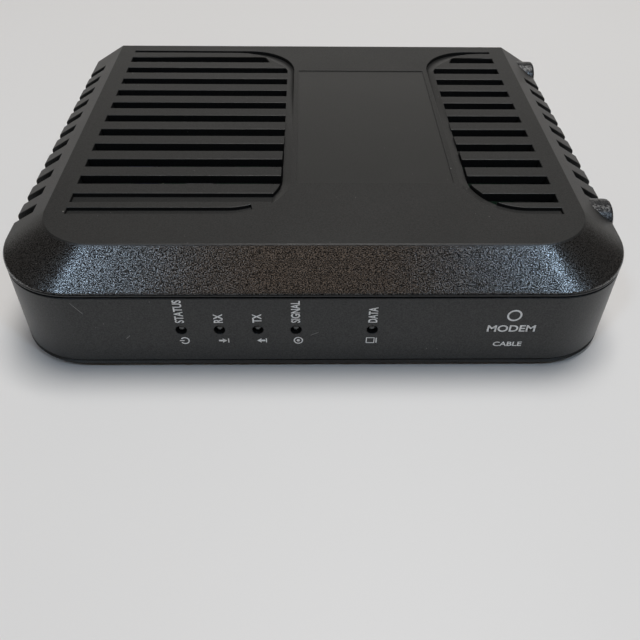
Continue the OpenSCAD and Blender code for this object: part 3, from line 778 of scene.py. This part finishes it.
    # Rearmost slot
    y0, y1 = FIRST + 80, FIRST + 80 + SLOT_W
    rear = [(side * q_lim, y0), (side * q_lim, y1), (side * (qc - 5.5), y1), (side * (qc - 7), y0)]
    # Painted shade on the rear slot's walls.
    holes.append(p.opening(TOPFACE, rear, 0.2, SLOT_DEPTH, wall=2))
    if left:
        moat = [(-q_lim, y_front - 12.5)]
        for a in np.arange(0.0, 27.1, 3.0):
            s, c = math.sin(math.radians(a)), math.cos(math.radians(a))
            moat.append((-(qc - 12.45 * s), y_front - 12.45 * c))
        for a in np.arange(25.0, -0.1, -2.5):
            s, c = math.sin(math.radians(a)), math.cos(math.radians(a))
            R = 15 - 0.6 * a / 25
            moat.append((-(qc - R * s), y_front - R * c))
        moat.append((-q_lim, y_front - 15))
        # The groove's walls are in the painted-shade plastic. Its floor is case plastic.
        holes.append(p.opening(TOPFACE, moat, 0.15, MOAT, floor=0, wall=2))
        q0 = qc - 10.3
        floor = [(-q_lim, FIRST), (-q_lim, FIRST + SLOT_W), (-(qc - 11.5), FIRST + SLOT_W + 1.5),
                 (-q0, FIRST)]
        p.flat(TOPFACE, [floor], 0, -RIM_DEPTH)
    return holes


cover()

# ---- Bezel ------------------------------------------------------------------

FACE_IN = 0.04


def case_path(y_end, inset=0.0, n=22):
    """Points and outward normals round the front of the case, from the left side to the right."""
    r = CORNER - inset
    out = [((-(HW - inset), y_end), (-1, 0))]
    for a in np.linspace(90, 0, n):
        s, c = math.sin(math.radians(a)), math.cos(math.radians(a))
        out.append(((-(HW - CORNER + r * s), CORNER - r * c), (-s, -c)))
    for a in np.linspace(0, 90, n):
        s, c = math.sin(math.radians(a)), math.cos(math.radians(a))
        out.append(((HW - CORNER + r * s, CORNER - r * c), (s, -c)))
    out.append(((HW - inset, y_end), (1, 0)))
    return out


def round_profile(corners):
    """Polyline (inset, z) with each corner (inset, z, radius) rounded."""
    out = []
    for i, (x, z, r) in enumerate(corners):
        if r <= 0 or i in (0, len(corners) - 1):
            out.append((x, z))
            continue
        p, a, b = (np.array(q[:2], float) for q in (corners[i], corners[i - 1], corners[i + 1]))
        ua, ub = unit(a - p), unit(b - p)
        half = math.acos(np.clip(ua @ ub, -1, 1)) / 2
        t = r / math.tan(half)
        c = p + unit(ua + ub) * r / math.sin(half)
        s, e = p + ua * t - c, p + ub * t - c
        a0, a1 = math.atan2(s[1], s[0]), math.atan2(e[1], e[0])
        da = (a1 - a0 + math.pi) % (2 * math.pi) - math.pi
        for k in np.linspace(0, 1, 5):
            w = a0 + da * k
            out.append(tuple(c + r * np.array([math.cos(w), math.sin(w)])))
    return out


def sweep(p, path, profile, mat=0):
    """Carries a profile of (inset, z) points along a path of points and outward normals."""
    rows, N = [], []
    prof = np.array(profile, float)
    d = np.gradient(prof, axis=0)
    n2 = unit(np.stack([d[:, 1], -d[:, 0]], 1))
    for (pt, nrm) in path:
        pt, nrm = np.array(pt), np.array(nrm)
        rows.append([(*(pt - nrm * i), z) for i, z in prof])
        N.append([(*(-nrm * a), b) for a, b in n2])
    N = np.array(N)
    outward = np.mean([np.dot(N[k][j][:2], path[k][1]) for k in range(len(path)) for j in range(len(prof))])
    p.grid(rows, unit(-N if outward < 0 else N), mat)


def bezel():
    p = Piece()
    path = case_path(BEZEL_END - 0.2)
    f = FACE_IN
    upper = round_profile([(1.8, RIM, 0), (f, RIM, 0.12), (f, RIM - 0.47, 0.12), (0.75, RIM - 0.47, 0)])
    sweep(p, path, upper)
    # The groove under the bead is in the painted-shade plastic.
    sweep(p, path, [(0.75, RIM - 0.47), (0.75, RIM - 0.94)], 1)
    z0, z1 = RIM - 0.94, BEZEL_LOW
    sweep(p, path, round_profile([(0.75, z0, 0), (f, z0, 0.22), (f, z0 - 0.4, 0)]))
    sweep(p, path, round_profile([(f, z1 + 0.6, 0), (f, z1, 0.3), (f + 0.31, z1, 0)]))
    # The bezel's underside, seen through the gap above the base, is in the painted-shade plastic.
    sweep(p, path, [(f + 0.31, z1), (2.0, z1)], 1)
    half = len(path) // 2
    for part in (path[:half], path[half:]):
        sweep(p, part, [(f, z0 - 0.4), (f, (z0 + z1) / 2), (f, z1 + 0.6)])
    face = Plane((0, f, 0), (1, 0, 0), (0, 0, 1), (0, -1, 0))
    w = HW - CORNER
    holes = []
    for x in LED_X:
        # The LED holes' walls are in the painted-shade plastic.
        holes.append(p.opening(face, circle(x, LED_Z, LED_R, 32), 0.12, 2.0, wall=1))
    p.flat(face, [[(-w, z1 + 0.6), (w, z1 + 0.6), (w, z0 - 0.4), (-w, z0 - 0.4)]] + holes)
    # Ends at the side walls
    for side in (-1, 1):
        P, N = [], []
        for t in np.linspace(0, math.pi / 2, 4):
            x = HW - f - 0.2 * (1 - math.cos(t))
            y = BEZEL_END - 0.2 + 0.2 * math.sin(t)
            P.append([(side * x, y, z0), (side * x, y, z1 + 0.3)])
            N.append([(side * math.cos(t), math.sin(t), 0)] * 2)
        p.grid(P, np.array(N))
        xa, xb = side * (HW - 0.24), side * (HW - CASE_WALL)
        p.quad((xa, BEZEL_END, z0), (xa, BEZEL_END, z1), (xb, BEZEL_END, z0), (xb, BEZEL_END, z1), (0, 1, 0))
    return p.make("bezel_shell", [BEZEL, PAINTED_SHADE], "front_bezel", slot="bezel_plastic")


LED_R = 1.3
LED_X = [centre("led_%d" % i)[0] for i in range(1, 6)]
LED_Z = centre("led_5")[2]
bezel()

# ---- Bottom case ------------------------------------------------------------

def base():
    p = Piece()
    r0 = BEZEL_END + 0.3
    ledge = BEZEL_LOW - 0.5
    strip = round_profile([(1.8, ledge, 0), (0.5, ledge, 0.05), (0.02, ledge - 0.5, 0.1),
                           (0.06, FLOOR, 0.05), (2.5, FLOOR, 0)])
    sweep(p, case_path(r0), strip)
    rr = 1.0
    inner = HW - CASE_WALL
    low = round_profile([(0, FLOOR + 2, 0), (0, FLOOR + 0.75, 0.5), (0.9, FLOOR, 0.5), (2.5, FLOOR, 0)])
    high = round_profile([(2.0, RIM, 0), (0, RIM, 0.15), (0, RIM - 0.5, 0)])
    for side in (-1, 1):
        path = [((side * HW, r0), (side, 0)), ((side * HW, LEN - rr), (side, 0))]
        for a in np.linspace(0, math.pi / 2, 6)[1:]:
            c, t = math.cos(a), math.sin(a)
            path.append(((side * (HW - rr + rr * c), LEN - rr + rr * t), (side * c, t)))
        sweep(p, path, high)
        sweep(p, path, low)
        sweep(p, path, [(0, RIM - 0.5), (0, -18), (0, FLOOR + 2)])
        # Inner face of the side wall, and the end that meets the bezel
        x, y1, z = side * inner, LEN - CASE_WALL, FLOOR + CASE_WALL
        p.quad((x, r0, RIM), (x, r0, z), (x, y1, RIM), (x, y1, z), (-side, 0, 0))
        p.quad((side * HW, r0, RIM - 0.1), (side * HW, r0, FLOOR + 1.4),
               (x, r0, RIM - 0.1), (x, r0, FLOOR + 1.4), (0, -1, 0))
    rear_path = [((-(HW - rr), LEN), (0, 1)), ((HW - rr, LEN), (0, 1))]
    sweep(p, rear_path, high)
    sweep(p, rear_path, low)
    rear = Plane((0, LEN, 0), (1, 0, 0), (0, 0, 1), (0, 1, 0))
    x, z = centre("coax_body")[0], centre("coax_nut")[2]
    holes = [p.opening(rear, circle(x, z, 5.0), 0.2, 2)]
    x, _, z = centre("reset_button")
    holes.append(p.opening(rear, circle(x, z, 1.25, 28), 0.2, 2))
    x, z = centre("power_jack_body")[0], centre("power_jack_pin")[2]
    holes.append(p.opening(rear, circle(x, z, 4.2), 0.3, 2))
    (x0, _, z0), (x1, _, z1) = extent("ethernet_shell")
    x0, x1, z1 = x0 - 0.2, x1 + 0.2, z1 + 0.2
    holes.append(p.opening(rear, [(x0, z0), (x1, z0), (x1, z1), (x0, z1)], 0.2, 2))
    w = HW - rr
    p.flat(rear, [[(-w, FLOOR + 2), (w, FLOOR + 2), (w, RIM - 0.5), (-w, RIM - 0.5)]] + holes)
    p.quad((-inner, LEN - CASE_WALL, RIM), (inner, LEN - CASE_WALL, RIM),
           (-inner, LEN - CASE_WALL, RIM - 3), (inner, LEN - CASE_WALL, RIM - 3), (0, -1, 0))

    # Underside
    under = Plane((0, 0, FLOOR), (1, 0, 0), (0, 1, 0), (0, 0, -1))
    inset = 2.5
    outline = [pt for pt, _ in case_path(r0, inset)]
    outline += [(HW - inset, LEN - inset), (-(HW - inset), LEN - inset)]
    mid = LEN / 2
    holes = []
    for row in (-1, 1):
        for i in range(-5, 6):
            x, y = i * 8.0, mid + row * 37
            slot = arc(x, y + 8.9, 1.1, 0, math.pi, 9) + arc(x, y - 8.9, 1.1, math.pi, 2 * math.pi, 9)
            holes.append(p.opening(under, slot, 0.25, 2))
    for x in (-64.8, 64.8):
        for y in (-42, 41):
            holes.append(p.opening(under, circle(x, mid + y, 3.0), 0.3, 2.2, floor=0))
    for name in FEET:
        holes.append(p.opening(under, circle(*centre(name)[:2], 5.15), 0.2, 0.6, floor=0))
    a, b = extent("rating_label")
    (x0, y0), (x1, y1) = a[:2] - 0.5, b[:2] + 0.5
    holes.append(p.opening(under, [(x0, y0), (x1, y0), (x1, y1), (x0, y1)], 0.15, 0.2, floor=0))
    p.flat(under, [outline] + holes)
    return p.make("base_shell", [BASE], "bottom_case", slot="case_plastic")


FEET = ["rubber_foot_front_left", "rubber_foot_front_right", "rubber_foot_rear_left", "rubber_foot_rear_right"]
base()

for name in FEET:
    p = Piece()
    prof = round_profile([(2.0, 5.0, 0), (0.9, 5.0, 0.1), (0.0, 4.75, 0.35), (0.0, 3.4, 0.3),
                          (0.25, 3.0, 0.3), (0.25, 0.0, 0)])
    p.lathe((*centre(name)[:2], -TOP), (0, 0, 1), prof)
    p.make("pad_" + name[12:], [FOOT], name, slot="rubber")

for name in ("side_foot_front", "side_foot_rear"):
    a, b = extent(name)
    _, y, z = centre(name)
    r, reach = (b[2] - a[2]) / 2, b[0] - a[0]
    p = Piece()
    prof = round_profile([(0, r, 0), (reach - 0.2, r - 0.1, 0.9), (reach, 3.0, 3.0), (reach, 0.0, 0)])
    p.lathe((a[0], y, z), (1, 0, 0), prof, steps=56)
    p.make("stud_" + name[10:], [SIDE_FOOT], name, slot="side_foot_rubber")

# ---- Coaxial connector: block, barrel with its thread, and bore ---------------

def coax_barrel():
    p = Piece()
    (x0, y0, z0), (x1, y_end, z1) = extent("coax_body")
    cx, cz = (x0 + x1) / 2, centre("coax_nut")[2]
    start, end = extent("coax_nut")[1][1] - LEN, y_end - LEN
    bore, root, crest, pitch = 3.6, 4.4, 4.68, 25.4 / 32

    def thread(w, rad, s):
        if rad < crest:
            return rad
        rise = min(1.0, (s - start) / 0.4, (end - s) / 0.4)
        turn = (s / pitch - w / (2 * math.pi)) % 1
        return rad - (crest - root) * (1 - rise * (1 - abs(2 * turn - 1)))

    prof = [(-3.0, root), (start, root)] + [(s, crest) for s in np.linspace(start, end - 0.15, 68)]
    prof += [(end, root - 0.15)] * 2 + [(end, bore + 0.1)] + [(end - 0.1, bore)] * 2 + [(-8.0, bore)]
    p.lathe((cx, LEN, cz), (0, 1, 0), prof, shape=thread)
    y1 = y0 + 10.6
    front, back = (Plane((cx, y, cz), (1, 0, 0), (0, 0, 1), (0, d, 0)) for y, d in ((y0, -1), (y1, 1)))
    around = [(u - cx, v - cz) for u, v in ((x0, z0), (x1, z0), (x1, z1), (x0, z1))]
    p.flat(front, [around])
    p.flat(back, [around, circle(0, 0, root, 24)])
    for (u, v), (u2, v2) in zip(around, around[1:] + around[:1]):
        p.quad((cx + u, y0, cz + v), (cx + u2, y0, cz + v2), (cx + u, y1, cz + v), (cx + u2, y1, cz + v2),
               (v2 - v, 0, u - u2))
    nickel = metal("coax_nickel", rgb(0.66, 0.64, 0.58), 0.25)
    return p.make("coax_barrel", [nickel], "coax_body", slot="nickel_plate")


coax_barrel()

# ---- Print on the bezel -----------------------------------------------------

def ink_mesh(name, polys):
    """Thin print on the bezel's face. polys are outlines in (x, z)."""
    p = Piece()
    face = Plane((0, 0.012, 0), (1, 0, 0), (0, 0, 1), (0, -1, 0))
    for poly in polys:
        p.flat(face, poly if isinstance(poly[0][0], (list, tuple, np.ndarray)) else [poly])
    return p.make(name, [INK], slot="bezel_plastic")


def word(text, x, z, height, length, turned=True):
    """Outlines of a word set in Blender's own font, as triangles in (x, z)."""
    cu = bpy.data.curves.new("w", "FONT")
    cu.body = text
    cu.resolution_u = 4
    cu.offset = 0.022
    ob = bpy.data.objects.new("w", cu)
    bpy.context.scene.collection.objects.link(ob)
    bpy.context.view_layer.update()
    me = ob.to_mesh()
    v = np.array([q.co[:2] for q in me.vertices])
    v = (v - v.min(0)) / (v.max(0) - v.min(0))
    faces = [tuple(f.vertices) for f in me.polygons]
    ob.to_mesh_clear()
    bpy.data.objects.remove(ob)
    bpy.data.curves.remove(cu)
    u, w = v[:, 0] * length, v[:, 1] * height
    pts = np.stack([x + height / 2 - w, z + u], 1) if turned else np.stack([x + u, z + w], 1)
    return [[tuple(pts[i]) for i in f] for f in faces]


def ribbon(line, w):
    """A line of even width as quads."""
    line = np.array(line, float)
    d = np.gradient(line, axis=0)
    n = unit(np.stack([-d[:, 1], d[:, 0]], 1)) * w / 2
    a, b = line + n, line - n
    return [[tuple(q) for q in (a[i], a[i + 1], b[i + 1], b[i])] for i in range(len(line) - 1)]


def loop(x, z, r, n, w):
    """A ring of ink."""
    return ribbon(arc(x, z, r, 0, 2 * math.pi, n), w)


def legends():
    words = [("STATUS", 6.9), ("RX", 2.7), ("TX", 2.7), ("SIGNAL", 6.6), ("DATA", 4.7)]
    zi = LED_Z - 3.35
    x = LED_X[0] + 0.5
    icons = [ribbon(arc(x, zi, 0.95, math.radians(215), math.radians(505), 28), 0.3)
             + ribbon([(x - 1.2, zi), (x - 0.1, zi)], 0.3)]
    for x, s in ((LED_X[1] + 0.6, 1), (LED_X[2] + 0.6, -1)):
        icons.append([[(x + s * 0.9, zi), (x - s * 0.1, zi + 0.7), (x - s * 0.1, zi - 0.7)]]
                     + ribbon([(x - s * 1.0, zi), (x, zi)], 0.5)
                     + ribbon([(x + 1.25, zi - 0.65), (x + 1.25, zi + 0.65)], 0.26))
    x = LED_X[3] + 0.5
    icons.append(loop(x, zi, 0.95, 30, 0.28) + loop(x, zi, 0.2, 16, 0.4))
    x, low, high = LED_X[4], zi - 0.8, zi + 0.8
    screen = [(x - 1.2, low), (x + 0.6, low), (x + 0.6, high), (x - 1.2, high), (x - 1.2, low)]
    icons.append(ribbon(screen, 0.28) + ribbon([(x + 1.1, low), (x + 1.1, high)], 0.28))
    for i, (text, length) in enumerate(words):
        ink_mesh("legend_%d" % (i + 1), word(text, LED_X[i] - 0.05, LED_Z + 2.3, 2.1, length))
        ink_mesh("symbol_%d" % (i + 1), icons[i])
    ink_mesh("emblem", loop(45.2, -14.1, 1.5, 40, 0.45))
    ink_mesh("type_line", word("MODEM", 39.6, -19.2, 2.1, 11.2, turned=False))
    ink_mesh("type_small", word("CABLE", 41.8, -23.9, 1.45, 6.8, turned=False))


legends()

# ---- Materials of the CAD nodes that are shown as they are ------------------

NICKEL = rgb(0.66, 0.64, 0.58)
TIN = rgb(0.45, 0.45, 0.43)
finishes = [
    ("rating_label", label_stock()),
    ("case_screws board_screws", metal("screw_zinc", rgb(0.5, 0.5, 0.52), 0.3)),
    ("main_board", circuit_board()),
    ("thermal_pad", rubber("silicone_pad", rgb(0.2, 0.25, 0.34))),
    ("heat_sink", metal("black_anodised", rgb(0.03, 0.03, 0.033), 0.42, (1, 40, 1))),
    ("crystal", metal("can_steel", rgb(0.6, 0.6, 0.58), 0.25)),
    ("diplexer", resin("fired_ceramic", rgb(0.5, 0.46, 0.38), 0.5)),
    ("shield_frame", metal("tinned_frame", TIN, 0.3)),
    ("shield_lid", metal("tinned_lid", TIN, 0.3, (1, 12, 1))),
    ("power_inductor core_inductor", resin("ferrite", rgb(0.05, 0.05, 0.052), 0.6)),
    ("input_capacitor output_capacitor", resin("sleeve", rgb(0.015, 0.02, 0.06), 0.3)),
    ("coax_washer coax_nut power_jack_spring", metal("nickel", NICKEL, 0.25)),
    ("power_jack_pin", metal("pin_nickel", NICKEL, 0.22)),
    ("coax_insulator", resin("insulator_white", rgb(0.7, 0.7, 0.66), 0.4)),
    ("coax_contact ethernet_contacts", metal("contact_gold", rgb(0.83, 0.6, 0.24), 0.2)),
    ("ethernet_shell", metal("shell_tin", rgb(0.62, 0.62, 0.6), 0.3, (1, 1, 14))),
    ("reset_button", resin("red_acetal", rgb(0.35, 0.03, 0.02), 0.4)),
    ("main_chip memory_chip flash_chip tuner_chip ethernet_transformer",
     resin("chip_epoxy", rgb(0.02, 0.02, 0.021), 0.45)),
    ("ethernet_insert power_jack_body reset_switch"
     " led_holder_1 led_holder_2 led_holder_3 led_holder_4 led_holder_5",
     satin_plastic("black_nylon", rgb(0.014, 0.014, 0.014), 0.45, 3000.0, 0.00004, 0.1)),
]
for names, material in finishes:
    for name in names.split():
        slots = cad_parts[name].data.materials
        slots.clear()
        slots.append(material)

LENS = resin("indicator_lens", rgb(0.05, 0.055, 0.055), 0.12, Coat_Weight=0.6)
for i, x in enumerate(LED_X):
    p = Piece()
    dome = [(0.55 + 1.14 - 1.14 * math.cos(a), 1.14 * math.sin(a)) for a in np.linspace(0, math.pi / 2, 9)]
    p.lathe((x, FACE_IN, LED_Z), (0, 1, 0), dome + [(3.2, 1.14), (3.2, 0.0)], steps=32)
    p.make("lens_%d" % (i + 1), [LENS], "led_%d" % (i + 1), slot="led_resin")

# ---- Floor, light and camera ------------------------------------------------

me = bpy.data.meshes.new("table_top")
s = 4.0
n = 8
verts = [(-s + 2 * s * i / n, -s + 2 * s * j / n, -0.00001) for i in range(n + 1) for j in range(n + 1)]
faces = [(i * (n + 1) + j, (i + 1) * (n + 1) + j, (i + 1) * (n + 1) + j + 1, i * (n + 1) + j + 1)
         for i in range(n) for j in range(n)]
me.from_pydata(verts, [], faces)
floor = bpy.data.objects.new("table_top", me)
bpy.context.scene.collection.objects.link(floor)
m = Nodes("table_paint")
tone = m.remap(m.noise(3.0, 2.0), 0.3, 0.7, 0.0, 1.0)
col = m.mix(tone, rgb(0.75, 0.735, 0.72), rgb(0.78, 0.77, 0.76))
me.materials.append(m.finish(col, 0.55, m.bump(m.noise(900.0, 3.0), 0.00002, 0.3)))

scene = bpy.context.scene
scene.view_settings.view_transform = "Standard"
world = bpy.data.worlds.new("studio")
scene.world = world
world.use_nodes = True
bg = world.node_tree.nodes["Background"]
bg.inputs["Color"].default_value = (1.0, 0.86, 0.72, 1.0)
bg.inputs["Strength"].default_value = 0.06


def area(name, place, size, power, color, target=(0, 0, 0.015)):
    li = bpy.data.lights.new(name, "AREA")
    li.shape = "RECTANGLE"
    li.size, li.size_y = size
    li.energy = power
    li.color = color
    ob = bpy.data.objects.new(name, li)
    bpy.context.scene.collection.objects.link(ob)
    ob.location = place
    ob.rotation_mode = "QUATERNION"
    ob.rotation_quaternion = (Vector(place) - Vector(target)).to_track_quat("Z", "Y")
    return ob


area("overhead", (0.10, 0.20, 1.3), (0.6, 0.6), 12.3, (1.0, 0.985, 0.965))
area("rear_panel", (0.0, 1.5, 0.36), (4.2, 0.7), 5.3, (1.0, 0.98, 0.95), (0, 0, 0.36))
area("window_left", (-0.568, -0.712, 1.091), (0.14, 0.18), 2.2, (0.6, 0.79, 1.0))
area("window_right", (0.645, -0.642, 1.091), (0.14, 0.18), 2.4, (0.6, 0.79, 1.0))
area("room_glow", (0.0, -0.75, 1.15), (0.7, 0.55), 0.5, (1.0, 0.6, 0.3))

yaw, pitch, roll = (math.radians(a) for a in (1.339, 43.105, 0.805))
forward = Vector((math.sin(yaw) * math.cos(pitch), math.cos(yaw) * math.cos(pitch), -math.sin(pitch)))
right = Vector((math.cos(yaw), -math.sin(yaw), 0))
up = right.cross(forward)
right, up = right * math.cos(roll) + up * math.sin(roll), up * math.cos(roll) - right * math.sin(roll)
cam = bpy.data.cameras.new("camera")
cam.sensor_width = 36.0
cam.lens = 39.49
cam.clip_start = 0.005
ob = bpy.data.objects.new("camera", cam)
scene.collection.objects.link(ob)
ob.matrix_world = Matrix.Translation(Vector(to_world((-1.832, -116.619, 93.834)))) @ Matrix(
    (right, up, -forward)).transposed().to_4x4()
scene.camera = ob
